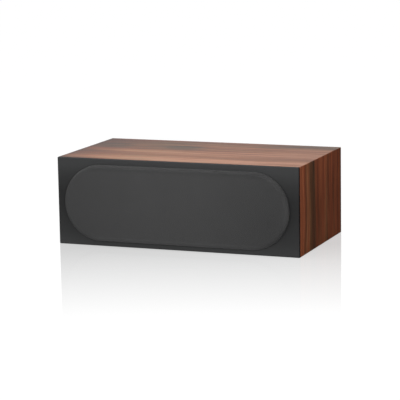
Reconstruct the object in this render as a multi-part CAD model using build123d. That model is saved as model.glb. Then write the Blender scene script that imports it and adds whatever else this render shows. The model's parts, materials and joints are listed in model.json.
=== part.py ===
from build123d import *
import math
import os

# Centre channel loudspeaker: a mitred, veneered cabinet with a black front baffle, two bass
# drivers either side of a dome tweeter, and a cloth grille with half-round ends on magnets.
# Millimetres. X runs along the width, the front faces -Y and Z is up.
# The origin is the middle of the cabinet's underside.

# Cabinet
cabinet_width = 480.0
cabinet_height = 166.5
cabinet_depth = 258.0            # baffle face to the rear edge of the side panels
wall = 15.0                      # top, bottom and side panels
wrap_corner = 1.2                # radius along the long mitred edges
baffle_lip = 4.0                 # black edge that laps the front of the wrap
baffle_edge = 2.0                # round on the baffle's front edge
shadow_width = 1.5               # groove between the baffle and the wrap
shadow_depth = 2.5
baffle_plug = 15.0               # thickness that sits inside the wrap
panel_fit = 0.2                  # gap round the baffle plug and the rear panel
rear_thickness = 15.0
rear_inset = 2.0                 # rear panel sits back from the rear edges
brace_thickness = 12.0
brace_rail = 22.0                # wood left round the brace window
wadding_thickness = 16.0
wadding_margin = 6.0
wadding_round = 5.0

# Grille
grille_side_margin = 18.0        # baffle left bare at each end
grille_top_margin = 11.0         # baffle left bare above and below
grille_thickness = 12.5
grille_edge = 8.0                # round on the front edge of the cloth
grille_gap = 0.3                 # grille to baffle
cloth_thickness = 0.6
cloth_fit = 0.05
grille_rim = 7.0
grille_rib = 6.0
grille_rib_thickness = 4.0
grille_magnet_radius = 4.0
grille_magnet_thickness = 3.0
magnet_boss_wall = 2.0
magnet_inset = 10.0              # outline of the grille to the magnets' centres
magnet_skin = 1.5                # baffle left in front of its magnets
magnet_fit = 0.1

# Bass drivers
woofer_frame_radius = 65.0
woofer_end_gap = 17.0            # end of the grille to the edge of the frame
woofer_flange = 5.0
woofer_rim = 8.5                 # bare metal ring round the surround
woofer_ledge_depth = 2.8
woofer_bearing = 7.5             # flange that rests on the baffle
woofer_basket_wall = 4.0
woofer_land = 4.0                # glued width of the surround
roll_radius = 4.5
roll_thickness = 0.8
cone_depth = 21.0                # front edge to neck
cone_bulge = 2.0
cone_thickness = 0.8
cap_radius = 17.0
cap_rise = 6.0
cap_thickness = 0.6
coil_radius = 12.85              # inside of the voice coil former
former_thickness = 0.3
winding_thickness = 0.65
winding_height = 11.0
pole_gap = 0.45
spider_depth = 30.0              # frame face to the spider
spider_thickness = 0.5
spider_wave = 1.1
spider_waves = 4
spider_land = 4.0
spider_inset = 2.0               # rim of the spider inside the magnet's front plate
basket_depth = 42.0              # frame face to the magnet's front plate
basket_floor = 4.0
basket_throat_gap = 2.0
basket_windows = 6
window_height = 17.0
window_width = 33.0
plate_radius = 42.0
plate_thickness = 6.0
magnet_radius = 45.0
magnet_bore = 22.5
magnet_thickness = 15.0
plate_bevel = 1.0
vent_radius = 4.0
tag_width = 12.0
tag_length = 8.0
tag_thickness = 1.5
ear_thickness = 4.0
ear_margin = 1.0

# Tweeter
tweeter_radius = 50.0
tweeter_plate = 5.0
tweeter_bearing = 7.0            # plate that rests on the baffle
tweeter_mouth = 34.0             # outer edge of the shallow horn
tweeter_throat = 16.2
tweeter_horn_depth = 3.2
dome_radius = 11.6
dome_rise = 5.2
dome_thickness = 0.3
dome_rim = 1.3
dome_roll = 1.3
dome_roll_thickness = 0.4
dome_land = 3.0
dome_former_thickness = 0.2
dome_winding_thickness = 0.5
dome_winding_height = 2.4
dome_gap = 0.45
tweeter_front_plate = 3.5
tweeter_front_plate_radius = 30.0
tweeter_magnet_radius = 35.0
tweeter_magnet_bore = 17.0
tweeter_magnet_thickness = 12.0
tweeter_back_plate = 5.0

# Screws
screw_head_radius = 3.2
screw_head_height = 2.4
screw_shank_radius = 1.5
screw_length = 12.0
screw_socket = 1.4               # across half the hexagon
screw_fit = 0.2
woofer_screws = 6
tweeter_screws = 4
flush_fit = 0.5                  # gap round each driver in its rebate

# Bass reflex port
port_radius = 25.0
port_length = 100.0
port_wall = 2.5
port_flare = 11.0
port_flange = 8.0                # flat ring outside the flare
port_fit = 0.2

# Rear terminals
terminal_width = 104.0
terminal_height = 58.0
terminal_corner = 7.0
terminal_field_corner = 3.0
terminal_thickness = 3.0
terminal_ledge = 10.0            # rear panel left under the plate's edge
terminal_field_depth = 0.8
post_spacing = 26.0
post_radius = 4.0
post_length = 27.0
collar_radius = 7.5
collar_thickness = 4.0
stud_radius = 2.5
socket_radius = 2.0
socket_depth = 18.0
wire_hole_radius = 1.75
knob_radius = 8.5
knob_flutes = 12
knob_flute_radius = 1.3
knob_end = 3.5
knob_end_hole = 2.8
knob_chamfer = 1.0
knob_fit = 0.2
bush_wall = 1.5
bush_length = 20.0
thread_fit = 0.05
nut_flats = 8.0
nut_thickness = 4.0

# Crossover
board_side_gap = 3.0             # board edge to the braces
board_height = 108.0
board_thickness = 1.6
board_gap = 6.0
board_edge = 4.0                 # board edge to the spacers' centres
spacer_radius = 3.0
part_gap = 4.0                   # room left round each part on the board
bass_coil_radius = 20.0
bass_coil_bore = 8.0
bass_coil_height = 22.0
treble_coil_radius = 15.0
treble_coil_bore = 6.0
treble_coil_height = 14.0
coil_flange = 1.5
capacitor_radius = 9.0
capacitor_length = 36.0
capacitor_round = 1.0
resistor_width = 10.0
resistor_length = 40.0
solder_gap = 0.1

# Inner leads
lead_radius = 2.2

# Places worked out from the sizes above
mid_height = cabinet_height / 2
front = -cabinet_depth / 2
wrap_front = front + baffle_lip + shadow_width
baffle_back = wrap_front + baffle_plug
wrap_rear = cabinet_depth / 2
rear_face = wrap_rear - rear_inset
rear_inner = rear_face - rear_thickness
inner_width = cabinet_width - 2 * wall
inner_height = cabinet_height - 2 * wall
grille_length = cabinet_width - 2 * grille_side_margin
grille_height = cabinet_height - 2 * grille_top_margin
grille_back = front - grille_gap
grille_front = grille_back - grille_thickness
woofer_x = grille_length / 2 - woofer_end_gap - woofer_frame_radius
woofer_cutout_radius = woofer_frame_radius - woofer_bearing
tweeter_cutout_radius = tweeter_radius - tweeter_bearing
brace_x = (tweeter_cutout_radius + woofer_x - woofer_cutout_radius) / 2
port_x = -woofer_x
magnet_places = [
    (side_x, mid_height + side_z * (grille_height / 2 - magnet_inset))
    for side_x in (-brace_x, brace_x)
    for side_z in (-1, 1)
] + [(side * (grille_length / 2 - magnet_inset), mid_height) for side in (-1, 1)]
board_front = rear_inner - board_gap - board_thickness
board_width = 2 * (brace_x - brace_thickness / 2 - board_side_gap)


def prism(sketch, y_start, y_end):
    """A front view, X across and Z up, made solid from one depth to another."""
    return extrude(Plane.XZ.offset(-y_start) * sketch, amount=y_start - y_end)


def turned(*points):
    """A profile of (radius, depth) points turned about the Y axis."""
    return revolve(make_face(Polyline(*points, close=True)), Axis.Y)


def ring(inner, outer, y_start, y_end):
    """A plain round ring or, with no inner radius, a disc."""
    return turned((inner, y_start), (outer, y_start), (outer, y_end), (inner, y_end))


def rod(radius, y_start, y_end):
    return ring(0, radius, y_start, y_end)


def around(count, part, start=0.0):
    """Copies of a part at even angles about the Y axis."""
    return [Rot(0, start + 360 * index / count, 0) * part for index in range(count)]


def on_front(x, z, part):
    """Places a part made about the Y axis on the baffle's face."""
    return Pos(x, front, z) * part


def stadium(length, height):
    """Front view of a bar with half-round ends, at the middle of the baffle."""
    return Pos(0, mid_height) * SlotOverall(length, height)


def screw():
    """Button-head screw with its seat at depth zero and its shank going in."""
    head = turned(
        (0, -screw_head_height),
        (screw_head_radius * 0.6, -screw_head_height),
        (screw_head_radius, -screw_head_height * 0.4),
        (screw_head_radius, 0),
        (0, 0),
    )
    shank = rod(screw_shank_radius, 0, screw_length)
    socket = prism(RegularPolygon(screw_socket, 6), -screw_head_height, -screw_head_height / 2)
    return head + shank - socket


def screw_hole(length):
    """Room for a screw: head above depth zero and shank below it."""
    head = rod(screw_head_radius + screw_fit, -2 * screw_head_height, 0)
    return head + rod(screw_shank_radius + screw_fit, 0, length + screw_fit)


def wrap_panels():
    """Four panels that meet at mitres, with the long edges just rounded."""
    outline = Pos(0, mid_height) * RectangleRounded(cabinet_width, cabinet_height, wrap_corner)
    section = outline - Pos(0, mid_height) * Rectangle(inner_width, inner_height)
    half_x = cabinet_width / 2
    half_z = mid_height
    top = make_face(
        Polyline(
            (-half_x, cabinet_height),
            (half_x, cabinet_height),
            (half_x - half_z, half_z),
            (half_z - half_x, half_z),
            close=True,
        )
    )
    right = make_face(
        Polyline((half_x, 0), (half_x, cabinet_height), (half_x - half_z, half_z), close=True)
    )
    middle = Plane((0, mid_height, 0), x_dir=(1, 0, 0), z_dir=(0, 1, 0))
    sectors = {
        "top_panel": top,
        "bottom_panel": mirror(top, middle),
        "right_panel": right,
        "left_panel": mirror(right, Plane.YZ),
    }
    return {name: prism(section & sector, wrap_front, wrap_rear) for name, sector in sectors.items()}


def driver_seat(radius, cutout, flange):
    """Rebate for a driver's frame and the hole behind it, from the baffle's face."""
    rebate = rod(radius + flush_fit, -1, flange)
    return rebate + rod(cutout, 0, baffle_back - front + 1)


def frame_screw_radius():
    return woofer_frame_radius - woofer_rim / 2


def tweeter_screw_radius():
    return (tweeter_radius + tweeter_cutout_radius) / 2


def screw_seat():
    """Depth of the seat under a driver's screw head, which lies flush."""
    return screw_head_height + screw_fit


def woofer_screw_ring(part):
    seated = Pos(frame_screw_radius(), screw_seat(), 0) * part
    return around(woofer_screws, seated)


def tweeter_screw_ring(part):
    turn = 180 / tweeter_screws
    seated = Pos(tweeter_screw_radius(), screw_seat(), 0) * part
    return around(tweeter_screws, seated, turn)


def front_baffle():
    """Black front panel: a lip over the wrap's edges, a shadow groove and a plug inside."""
    outline = Pos(0, mid_height) * RectangleRounded(cabinet_width, cabinet_height, wrap_corner)
    lip = prism(outline, front, front + baffle_lip)
    lip = fillet(lip.faces().sort_by(Axis.Y)[0].edges(), baffle_edge)
    neck = Rectangle(cabinet_width - 2 * shadow_depth, cabinet_height - 2 * shadow_depth)
    plug = Rectangle(inner_width - 2 * panel_fit, inner_height - 2 * panel_fit)
    panel = lip + prism(Pos(0, mid_height) * neck, front + baffle_lip, wrap_front)
    panel += prism(Pos(0, mid_height) * plug, wrap_front, baffle_back)
    for side in (-1, 1):
        seat = driver_seat(woofer_frame_radius, woofer_cutout_radius, woofer_flange)
        panel -= on_front(side * woofer_x, mid_height, seat)
        for hole in woofer_screw_ring(screw_hole(screw_length)):
            panel -= on_front(side * woofer_x, mid_height, hole)
    panel -= on_front(0, mid_height, driver_seat(tweeter_radius, tweeter_cutout_radius, tweeter_plate))
    for hole in tweeter_screw_ring(screw_hole(screw_length)):
        panel -= on_front(0, mid_height, hole)
    pocket = rod(grille_magnet_radius + magnet_fit, magnet_skin, baffle_back - front + 1)
    for x, z in magnet_places:
        panel -= on_front(x, z, pocket)
    return panel


def port_mouth_radius():
    return port_radius + port_flare


def port_flange_radius():
    return port_mouth_radius() + port_flange


def terminal_outline(grow=0.0):
    """Terminal plate's outer form, or the recess round it."""
    return Pos(0, mid_height) * RectangleRounded(
        terminal_width + 2 * grow, terminal_height + 2 * grow, terminal_corner + grow
    )


def terminal_field():
    """Sunk middle of the terminal plate, which is also the opening behind it."""
    return Pos(0, mid_height) * RectangleRounded(
        terminal_width - 2 * terminal_ledge, terminal_height - 2 * terminal_ledge, terminal_field_corner
    )


def terminal_screw_places():
    reach_x = terminal_width / 2 - terminal_ledge / 2
    reach_z = terminal_height / 2 - terminal_ledge / 2
    return [(x, mid_height + z) for x in (-reach_x, reach_x) for z in (-reach_z, reach_z)]


def on_rear(x, z, part):
    """Places a part made about the Y axis, going inwards, on the rear panel's face."""
    return Pos(x, rear_face, z) * Rot(180, 0, 0) * part


def rear_panel():
    """Panel between the four walls, with the port's hole and the terminal plate's opening."""
    sheet = Rectangle(inner_width - 2 * panel_fit, inner_height - 2 * panel_fit)
    panel = prism(Pos(0, mid_height) * sheet, rear_inner, rear_face)
    panel -= on_rear(port_x, mid_height, rod(port_mouth_radius() + port_fit, -1, rear_thickness + 1))
    panel -= on_rear(port_x, mid_height, rod(port_flange_radius() + port_fit, -1, port_wall))
    panel -= prism(terminal_outline(panel_fit), rear_face - terminal_thickness, rear_face + 1)
    panel -= prism(terminal_field(), rear_inner - 1, rear_face)
    pilot = rod(screw_shank_radius + screw_fit, 0, screw_length + screw_fit)
    for x, z in terminal_screw_places():
        panel -= on_rear(x, z, Pos(0, terminal_screw_seat(), 0) * pilot)
    for x, z in board_corners():
        panel -= Pos(x, board_front, z) * pilot
    return panel


def brace():
    """Upright board across the cabinet, from the baffle to the rear panel, with a window."""
    length = rear_inner - baffle_back
    board = Box(brace_thickness, length, inner_height)
    window = Plane.YZ * SlotOverall(length - 2 * brace_rail, inner_height - 2 * brace_rail)
    board -= extrude(window, amount=brace_thickness, both=True)
    return Pos(0, (rear_inner + baffle_back) / 2, mid_height) * board


def wadding():
    """Pad stuck under the top panel of an outer chamber, behind the driver's basket."""
    x_start = brace_x + brace_thickness / 2 + wadding_margin
    x_end = inner_width / 2 - wadding_margin
    y_start = front + basket_depth + wadding_margin
    y_end = rear_inner - wadding_margin
    pad = Box(x_end - x_start, y_end - y_start, wadding_thickness)
    lower = pad.faces().sort_by(Axis.Z)[0].edges()
    pad = fillet(lower, wadding_round)
    lift = cabinet_height - wall - wadding_thickness / 2
    return Pos((x_start + x_end) / 2, (y_start + y_end) / 2, lift) * pad


def port_tube():
    """Moulded tube with a rounded flare at each end, its outer flange flush with the panel."""
    outer = port_radius + port_wall
    mouth = port_mouth_radius()
    outer_turn = port_flare
    inner_turn = port_length - port_flare
    edges = [
        JernArc((port_radius, outer_turn), (0, -1), port_flare, 90),
        Line((mouth, 0), (port_flange_radius(), 0)),
        Line((port_flange_radius(), 0), (port_flange_radius(), port_wall)),
        Line((port_flange_radius(), port_wall), (mouth, port_wall)),
        JernArc((outer, outer_turn), (0, -1), port_flare - port_wall, 90),
        Line((outer, outer_turn), (outer, inner_turn)),
        JernArc((outer, inner_turn), (0, 1), port_flare - port_wall, -90),
        Line((mouth, port_length - port_wall), (mouth, port_length)),
        JernArc((port_radius, inner_turn), (0, 1), port_flare, -90),
        Line((port_radius, inner_turn), (port_radius, outer_turn)),
    ]
    tube = revolve(make_face(edges), Axis.Y)
    return on_rear(port_x, mid_height, tube)


def post_places():
    return {"positive": post_spacing / 2, "negative": -post_spacing / 2}


def on_terminal(name, part):
    """Places a part made about the Y axis, pointing out of the rear, on a post's axis."""
    return Pos(post_places()[name], rear_face - terminal_field_depth, mid_height) * part


def terminal_plate():
    """Moulded plate let into the rear panel, with a sunk field round the posts."""
    plate = prism(terminal_outline(), rear_face - terminal_thickness, rear_face)
    plate -= prism(terminal_field(), rear_face - terminal_field_depth, rear_face + 1)
    for x in post_places().values():
        hole = rod(stud_radius + thread_fit, -terminal_thickness - 1, terminal_thickness + 1)
        plate -= Pos(x, rear_face, mid_height) * hole
    for x, z in terminal_screw_places():
        plate -= on_rear(x, z, Pos(0, terminal_screw_seat(), 0) * screw_hole(screw_length))
    return plate


def terminal_screw_seat():
    return terminal_thickness / 2


def stud_length():
    """Post's stud, from the plate's field to just past the nut behind the board."""
    return rear_face - terminal_field_depth - board_front + nut_thickness + 1


def binding_post():
    """Turned post: stud through the board, collar on the plate, stem with plug socket."""
    post = rod(collar_radius, 0, collar_thickness) + rod(post_radius, collar_thickness, post_length)
    post += rod(stud_radius, -stud_length(), 0)
    post -= rod(socket_radius, post_length - socket_depth, post_length + 1)
    wire_hole = Pos(0, collar_thickness + wire_hole_radius + knob_fit, 0) * Cylinder(
        wire_hole_radius, 2 * collar_radius
    )
    return post - wire_hole


def knob_bush():
    """Threaded metal sleeve that rides on the post inside the knob."""
    inner = post_radius + thread_fit
    start = collar_thickness + knob_fit
    return ring(inner, inner + bush_wall, start, start + bush_length)


def knob():
    """Fluted knob over the bush, closed at its end except for the plug's hole."""
    bore = post_radius + 2 * thread_fit + bush_wall
    start = collar_thickness + knob_fit
    end = post_length + knob_fit + knob_end
    shell = turned(
        (bore, start),
        (knob_radius - knob_chamfer, start),
        (knob_radius, start + knob_chamfer),
        (knob_radius, end - knob_chamfer),
        (knob_radius - knob_chamfer, end),
        (knob_end_hole, end),
        (knob_end_hole, end - knob_end),
        (bore, end - knob_end),
    )
    flute = Pos(knob_radius + knob_flute_radius / 2, 0, 0) * rod(
        knob_flute_radius, start + 2 * knob_chamfer, end - 2 * knob_chamfer
    )
    for cut in around(knob_flutes, flute):
        shell -= cut
    return shell


def nut():
    """Plain hexagon nut on a post's stud, in front of the board."""
    outline = RegularPolygon(nut_flats / 2, 6, major_radius=False)
    return prism(outline - Circle(stud_radius + thread_fit), 0, nut_thickness)


def board_corners():
    reach_x = board_width / 2 - board_edge
    reach_z = board_height / 2 - board_edge
    return [(x, mid_height + z) for x in (-reach_x, reach_x) for z in (-reach_z, reach_z)]


def crossover_board():
    """Circuit board on spacers behind the terminals, drilled for the posts and screws."""
    outline = Pos(0, mid_height) * Rectangle(board_width, board_height)
    for x in post_places().values():
        outline -= Pos(x, mid_height) * Circle(stud_radius + thread_fit)
    for x, z in board_corners():
        outline -= Pos(x, z) * Circle(screw_shank_radius + screw_fit)
    return prism(outline, board_front, board_front + board_thickness)


def board_spacers():
    sleeve = Circle(spacer_radius) - Circle(screw_shank_radius + screw_fit)
    return [prism(Pos(x, z) * sleeve, board_front + board_thickness, rear_inner) for x, z in board_corners()]


def board_screws():
    return [Pos(x, board_front, z) * screw() for x, z in board_corners()]


def wound_coil(radius, bore, height):
    """Wire wound between two thin flanges, lying on the board and facing the front."""
    bobbin = ring(bore, bore + coil_flange, -height, 0)
    for start in (-height, -coil_flange):
        bobbin += ring(bore, radius, start, start + coil_flange)
    return bobbin + ring(bore + coil_flange, radius - coil_flange, -height, 0)


def crossover_parts():
    """Inductors, capacitors and resistor, standing on the front of the board."""
    top = mid_height + board_height / 2
    low = mid_height - board_height / 2
    side = board_width / 2
    bass_x = -side + bass_coil_radius + part_gap
    treble_x = side - treble_coil_radius - part_gap
    bass = wound_coil(bass_coil_radius, bass_coil_bore, bass_coil_height)
    treble = wound_coil(treble_coil_radius, treble_coil_bore, treble_coil_height)
    barrel = Rot(0, 90, 0) * Cylinder(capacitor_radius, capacitor_length)
    barrel = fillet(barrel.edges().filter_by(GeomType.CIRCLE), capacitor_round)
    lift = board_front - capacitor_radius - solder_gap
    barrel_z = low + capacitor_radius + 2 * part_gap
    capacitors = [
        Pos(sign * (capacitor_length + part_gap) / 2, lift, barrel_z) * barrel for sign in (-1, 1)
    ]
    block = Box(resistor_length, resistor_width, resistor_width)
    block_z = barrel_z + capacitor_radius + part_gap + resistor_width / 2
    return {
        "bass_inductor": Pos(bass_x, board_front, top - bass_coil_radius - part_gap) * bass,
        "treble_inductor": Pos(treble_x, board_front, top - treble_coil_radius - part_gap) * treble,
        "capacitors": capacitors,
        "resistor": Pos(0, board_front - resistor_width / 2, block_z) * block,
    }


def surround_inner():
    """Radius where the half-roll starts, beside the cone's edge."""
    return surround_outer() - 2 * roll_radius


def surround_outer():
    return woofer_frame_radius - woofer_rim - woofer_land


def half_roll(inner, radius, thickness, back, land):
    """Section of a soft half-roll with a flat land each side."""
    outer = inner + 2 * radius
    middle = inner + radius
    skin = make_face(
        [
            ThreePointArc((inner, back), (middle, back - radius), (outer, back)),
            Line((outer, back), (outer - thickness, back)),
            ThreePointArc(
                (outer - thickness, back), (middle, back - radius + thickness), (inner + thickness, back)
            ),
            Line((inner + thickness, back), (inner, back)),
        ]
    )
    inner_land = Pos(inner + thickness / 2 - land / 2, back - thickness / 2) * Rectangle(
        land + thickness, thickness
    )
    outer_land = Pos(outer - thickness / 2 + land / 2, back - thickness / 2) * Rectangle(
        land + thickness, thickness
    )
    return revolve(skin + inner_land + outer_land, Axis.Y)


def cone_front():
    """Depth of the cone's flat outer edge, under the surround's inner land."""
    return woofer_ledge_depth


def cone_neck():
    return cone_front() + cone_depth


def cone():
    """Curved cone with a flat edge for the surround and a flat neck for coil and cap."""
    edge = surround_inner()
    lip = edge - woofer_land
    neck_inner = coil_radius
    shift = cone_thickness
    front_curve = SagittaArc((lip, cone_front()), (cap_radius, cone_neck()), cone_bulge)
    back_curve = SagittaArc((lip, cone_front() + shift), (cap_radius, cone_neck() + shift), cone_bulge)
    edges = [
        Line((edge, cone_front()), (lip, cone_front())),
        front_curve,
        Line((cap_radius, cone_neck()), (neck_inner, cone_neck())),
        Line((neck_inner, cone_neck()), (neck_inner, cone_neck() + shift)),
        Line((neck_inner, cone_neck() + shift), (cap_radius, cone_neck() + shift)),
        back_curve,
        Line((lip, cone_front() + shift), (edge, cone_front() + shift)),
        Line((edge, cone_front() + shift), (edge, cone_front())),
    ]
    return revolve(make_face(edges), Axis.Y)


def domed_cap(radius, rise, thickness, rim, seat):
    """Thin dome, bulging to the front, with a flat rim whose back lies at the seat depth."""
    base = seat - thickness
    sphere = (radius**2 + rise**2) / (2 * rise)
    half_angle = math.asin(radius / sphere) / 2
    shoulder = sphere * math.sin(half_angle)
    drop = sphere * (1 - math.cos(half_angle))
    apex = base - rise
    edges = [
        Line((0, apex), (0, apex + thickness)),
        ThreePointArc((0, apex + thickness), (shoulder, apex + drop + thickness), (radius, seat)),
        Line((radius, seat), (radius + rim, seat)),
        Line((radius + rim, seat), (radius + rim, base)),
        Line((radius + rim, base), (radius, base)),
        ThreePointArc((radius, base), (shoulder, apex + drop), (0, apex)),
    ]
    return revolve(make_face(edges), Axis.Y)


def voice_coil():
    """Thin former from the cone's neck into the gap, with its winding."""
    start = cone_neck() + cone_thickness
    middle = basket_depth + plate_thickness / 2
    outer = coil_radius + former_thickness
    former = ring(coil_radius, outer, start, middle + winding_height / 2)
    winding_start = middle - winding_height / 2
    return former + ring(coil_radius, outer + winding_thickness, winding_start, middle + winding_height / 2)


def spider_outer():
    """Outer radius of the spider, on the basket's inner step."""
    return plate_radius - spider_inset


def spider():
    """Corrugated disc between the former and the basket's step."""
    inner = coil_radius + former_thickness + thread_fit
    flat = spider_outer() - spider_land
    step = (flat - inner) / (2 * spider_waves)
    top = []
    for index in range(2 * spider_waves):
        start = inner + index * step
        bulge = spider_wave if index % 2 else -spider_wave
        top.append(ThreePointArc((start, 0), (start + step / 2, bulge), (start + step, 0)))
    low = [Pos(0, spider_thickness) * arc for arc in top]
    edges = top + low + [
        Line((inner, 0), (inner, spider_thickness)),
        Line((flat, 0), (spider_outer(), 0)),
        Line((spider_outer(), 0), (spider_outer(), spider_thickness)),
        Line((spider_outer(), spider_thickness), (flat, spider_thickness)),
    ]
    return Pos(0, spider_depth - spider_thickness, 0) * revolve(make_face(edges), Axis.Y)


def basket_barrel():
    """Outer radius of the basket's wall, just inside the baffle's hole."""
    return woofer_cutout_radius - flush_fit


def basket_base():
    """Outer radius of the basket's floor, round the magnet's front plate."""
    return plate_radius + woofer_basket_wall / 2


def tag_radius():
    """Middle of the terminal tag, just outside the basket's sloping wall."""
    slope = (basket_barrel() - basket_base()) / (spider_depth + ear_thickness - woofer_flange)
    return basket_base() + slope * ear_thickness + flush_fit + tag_length / 2


def basket():
    """Cast frame: flange with a step for the surround, open windows, spokes and a floor."""
    ledge_outer = woofer_frame_radius - woofer_rim
    ledge_inner = surround_outer() - roll_thickness
    throat = coil_radius + former_thickness + winding_thickness + basket_throat_gap
    step = spider_outer() - spider_land
    wall_top = basket_barrel() - 1.5 * woofer_basket_wall
    body = turned(
        (ledge_inner, woofer_ledge_depth),
        (ledge_outer, woofer_ledge_depth),
        (ledge_outer, 0),
        (woofer_frame_radius, 0),
        (woofer_frame_radius, woofer_flange),
        (basket_barrel(), woofer_flange),
        (basket_base(), spider_depth + ear_thickness),
        (basket_base(), basket_depth),
        (throat, basket_depth),
        (throat, basket_depth - basket_floor),
        (step, basket_depth - basket_floor),
        (step, spider_depth),
        (spider_outer(), spider_depth),
        (wall_top, woofer_flange + 1),
    )
    window = Plane.YZ * SlotOverall(window_width, window_height, rotation=90)
    cut = Pos(0, (woofer_flange + spider_depth) / 2, 0) * extrude(window, amount=woofer_frame_radius)
    for opening in around(basket_windows, cut, 180 / basket_windows):
        body -= opening
    ear_end = tag_radius() + tag_length / 2
    ear = Box(ear_end - basket_base(), ear_thickness, tag_width + 2 * ear_margin)
    body += Pos(-(ear_end + basket_base()) / 2, spider_depth - ear_thickness / 2, 0) * ear
    for hole in woofer_screw_ring(screw_hole(screw_length)):
        body -= hole
    return body


def terminal_tag():
    """Small board on the basket's ear, where the lead is soldered."""
    board = Box(tag_length, tag_thickness, tag_width)
    return Pos(-tag_radius(), spider_depth + tag_thickness / 2, 0) * board


def bevelled_ring(inner, outer, y_start, y_end):
    """Ring with its outer corners bevelled."""
    return turned(
        (inner, y_start),
        (outer - plate_bevel, y_start),
        (outer, y_start + plate_bevel),
        (outer, y_end - plate_bevel),
        (outer - plate_bevel, y_end),
        (inner, y_end),
    )


def woofer():
    """Every piece of a bass driver about the Y axis, its frame's face at depth zero."""
    gap_outer = coil_radius + former_thickness + winding_thickness + pole_gap
    plate_end = basket_depth + plate_thickness
    magnet_end = plate_end + magnet_thickness
    pole_top = basket_depth - 1
    yoke = bevelled_ring(vent_radius, plate_radius, magnet_end, magnet_end + plate_thickness)
    yoke += ring(vent_radius, coil_radius - pole_gap, pole_top, magnet_end)
    rim = cap_radius - coil_radius
    return {
        "basket": basket(),
        "surround": half_roll(surround_inner(), roll_radius, roll_thickness, woofer_ledge_depth, woofer_land),
        "cone": cone(),
        "dust_cap": domed_cap(coil_radius, cap_rise, cap_thickness, rim, cone_neck()),
        "voice_coil": voice_coil(),
        "spider": spider(),
        "top_plate": bevelled_ring(gap_outer, plate_radius, basket_depth, plate_end),
        "magnet": bevelled_ring(magnet_bore, magnet_radius, plate_end, magnet_end),
        "yoke": yoke,
    }


def tweeter():
    """Every piece of the tweeter about the Y axis, its faceplate's face at depth zero."""
    clamp = tweeter_plate + dome_roll_thickness
    plate_end = clamp + tweeter_front_plate
    magnet_end = plate_end + tweeter_magnet_thickness
    horn = ThreePointArc(
        (tweeter_mouth, 0),
        ((tweeter_mouth + tweeter_throat) / 2, tweeter_horn_depth * 0.35),
        (tweeter_throat, tweeter_horn_depth),
    )
    plate_edges = [
        horn,
        Line((tweeter_throat, tweeter_horn_depth), (tweeter_throat, tweeter_plate)),
        Line((tweeter_throat, tweeter_plate), (tweeter_radius, tweeter_plate)),
        Line((tweeter_radius, tweeter_plate), (tweeter_radius, 0)),
        Line((tweeter_radius, 0), (tweeter_mouth, 0)),
    ]
    faceplate = revolve(make_face(plate_edges), Axis.Y)
    for hole in tweeter_screw_ring(screw_hole(screw_length)):
        faceplate -= hole
    rim_outer = dome_radius + dome_rim
    rim_back = clamp + dome_thickness
    former_outer = rim_outer - dome_thickness
    former_inner = former_outer - dome_former_thickness
    winding_outer = former_outer + dome_winding_thickness
    middle = clamp + tweeter_front_plate / 2
    winding_start = middle - dome_winding_height / 2
    winding_end = middle + dome_winding_height / 2
    coil = ring(former_inner, former_outer, rim_back, winding_end)
    coil += ring(former_inner, winding_outer, winding_start, winding_end)
    gap_outer = winding_outer + dome_gap
    roll = half_roll(rim_outer, dome_roll, dome_roll_thickness, clamp, dome_rim)
    clamp_ring = ring(
        rim_outer + 2 * dome_roll, tweeter_throat + dome_land, tweeter_plate, clamp
    )
    yoke = bevelled_ring(0, tweeter_front_plate_radius, magnet_end, magnet_end + tweeter_back_plate)
    yoke += rod(former_inner - dome_gap, middle, magnet_end)
    return {
        "tweeter_faceplate": faceplate,
        "tweeter_surround": roll + clamp_ring,
        "tweeter_dome": domed_cap(dome_radius, dome_rise, dome_thickness, dome_rim, rim_back),
        "tweeter_voice_coil": coil,
        "tweeter_top_plate": bevelled_ring(gap_outer, tweeter_front_plate_radius, clamp, plate_end),
        "tweeter_magnet": bevelled_ring(tweeter_magnet_bore, tweeter_magnet_radius, plate_end, magnet_end),
        "tweeter_yoke": yoke,
    }


def cloth_shape(shrink):
    """Grille's outer form, rounded at the front edge, drawn in by an even skin."""
    outline = stadium(grille_length - 2 * shrink, grille_height - 2 * shrink)
    block = prism(outline, grille_front + shrink, grille_back)
    edge = block.faces().sort_by(Axis.Y)[0].edges()
    return fillet(edge, grille_edge - shrink)


def grille_cloth():
    """Cloth drawn over the frame's face and down its sides."""
    return cloth_shape(0) - cloth_shape(cloth_thickness)


def grille_frame():
    """Moulded rim with half-round ends, two upright ribs and bosses for the magnets."""
    skin = cloth_thickness + cloth_fit
    form = cloth_shape(skin)
    opening = stadium(grille_length - 2 * grille_rim, grille_height - 2 * grille_rim)
    frame = form - prism(opening, grille_front - 1, grille_back + 1)
    rib = Pos(0, mid_height) * Rectangle(grille_rib, grille_height - grille_rim)
    rib_front = grille_front + skin
    for side in (-1, 1):
        bar = Pos(side * brace_x, 0) * rib
        frame += prism(bar, rib_front, rib_front + grille_rib_thickness)
    boss_radius = grille_magnet_radius + magnet_boss_wall
    for x, z in magnet_places:
        frame += Pos(x, grille_back, z) * rod(boss_radius, rib_front - grille_back, 0)
    frame = frame & form  # ribs and bosses follow the rounded edge under the cloth
    pocket = rod(grille_magnet_radius + magnet_fit, -grille_magnet_thickness, 1)
    for x, z in magnet_places:
        frame -= Pos(x, grille_back, z) * pocket
    return frame


def magnet_discs(back):
    """A disc at each magnet's place, from the given depth towards the front."""
    disc = rod(grille_magnet_radius, -grille_magnet_thickness, 0)
    return [Pos(x, back, z) * disc for x, z in magnet_places]


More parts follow.
